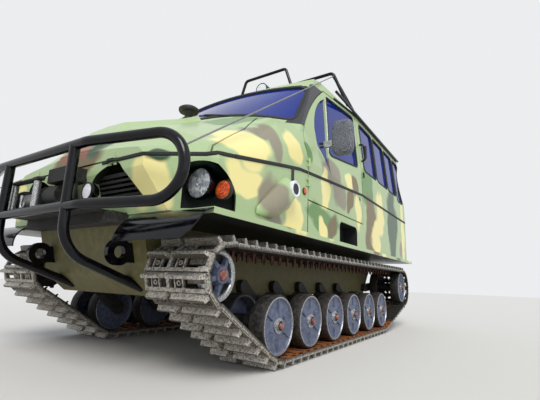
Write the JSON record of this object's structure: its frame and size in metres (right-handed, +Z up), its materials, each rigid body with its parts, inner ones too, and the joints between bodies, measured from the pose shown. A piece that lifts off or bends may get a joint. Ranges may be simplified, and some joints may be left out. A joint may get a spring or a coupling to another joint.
{
  "type": "tracked all-terrain vehicle",
  "caption": "Tracked all-terrain vehicle with a boat-shaped hull, van cabin, hinged hood and doors, rubber-tyred road wheels, front tube guard and roof branch guard.",
  "frame": {"origin": "on the ground under the middle of the overall length and width", "axes": "-Y is the vehicle front, +X its left side, +Z up"},
  "size_m": [2.64, 4.4699, 2.922],
  "materials": {
    "black_paint": "gloss",
    "camouflage_paint": "satin camouflage",
    "dark_plastic": "matte",
    "engine_iron": "rough",
    "lamp_glass": "clear",
    "olive_paint": "satin",
    "orange_plastic": "gloss",
    "red_plastic": "gloss",
    "seat_fabric": "woven",
    "steel_cable": "bare wire rope",
    "track_steel": "worn and dusty",
    "wheel_paint": "satin",
    "wheel_rim_plastic": "matte",
    "window_glass": "tinted"
  },
  "bodies": {
    "vehicle": {"body_lower": "camouflage_paint", "dashboard": "dark_plastic", "deck": "camouflage_paint", "deflector_stays": "steel_cable", "drive_sprockets": "track_steel", "engine_block": "engine_iron", "exhaust_pod": "camouflage_paint", "fender_lips": "black_paint", "front_cowl": "camouflage_paint", "front_guard": "black_paint", "grab_handles": "black_paint", "grille": "dark_plastic", "headlamps": "lamp_glass", "hull_tub": "olive_paint", "lamp_pods": "dark_plastic", "rear_idlers": "wheel_paint", "rear_lamps": "red_plastic", "rear_wall": "camouflage_paint", "road_wheels_left": "wheel_paint", "road_wheels_right": "wheel_paint", "roof": "camouflage_paint", "roof_guard": "black_paint", "searchlight": "black_paint", "seats": "seat_fabric", "side_panel_left": "camouflage_paint", "side_panel_right": "camouflage_paint", "side_windows": "window_glass", "signal_lamps": "orange_plastic", "steering_wheel": "wheel_rim_plastic", "step_niches": "dark_plastic", "suspension_arms": "black_paint", "tow_eyes": "black_paint", "tow_hitch": "black_paint", "track_left": "track_steel", "track_right": "track_steel", "winch": "black_paint", "windshield": "window_glass", "work_lamp": "black_paint"},
    "door_left": {"door_left": "camouflage_paint", "door_left_glass": "window_glass", "mirror_left": "dark_plastic"},
    "door_right": {"door_right": "camouflage_paint", "door_right_glass": "window_glass", "mirror_right": "dark_plastic"},
    "rear_door": {"rear_door": "camouflage_paint", "rear_door_glass": "window_glass"},
    "hood": {"hood": "camouflage_paint", "air_intake": "dark_plastic"}
  },
  "joints": [
    {"name": "door_left_hinge", "type": "hinge", "parent": "vehicle", "child": "door_left", "pos_m": [1.059, -0.862, 1.303], "axis": [0, 0, -1], "range_deg": [0, 70]},
    {"name": "door_right_hinge", "type": "hinge", "parent": "vehicle", "child": "door_right", "pos_m": [-1.059, -0.862, 1.303], "axis": [0, 0, 1], "range_deg": [0, 70]},
    {"name": "rear_door_hinge", "type": "hinge", "parent": "vehicle", "child": "rear_door", "pos_m": [-0.34, 2.19, 1.5], "axis": [0, 0, 1], "range_deg": [0, 100]},
    {"name": "hood_hinge", "type": "hinge", "parent": "vehicle", "child": "hood", "pos_m": [0, -2.024, 1.151], "axis": [1, 0, 0], "range_deg": [0, 55]}
  ]
}
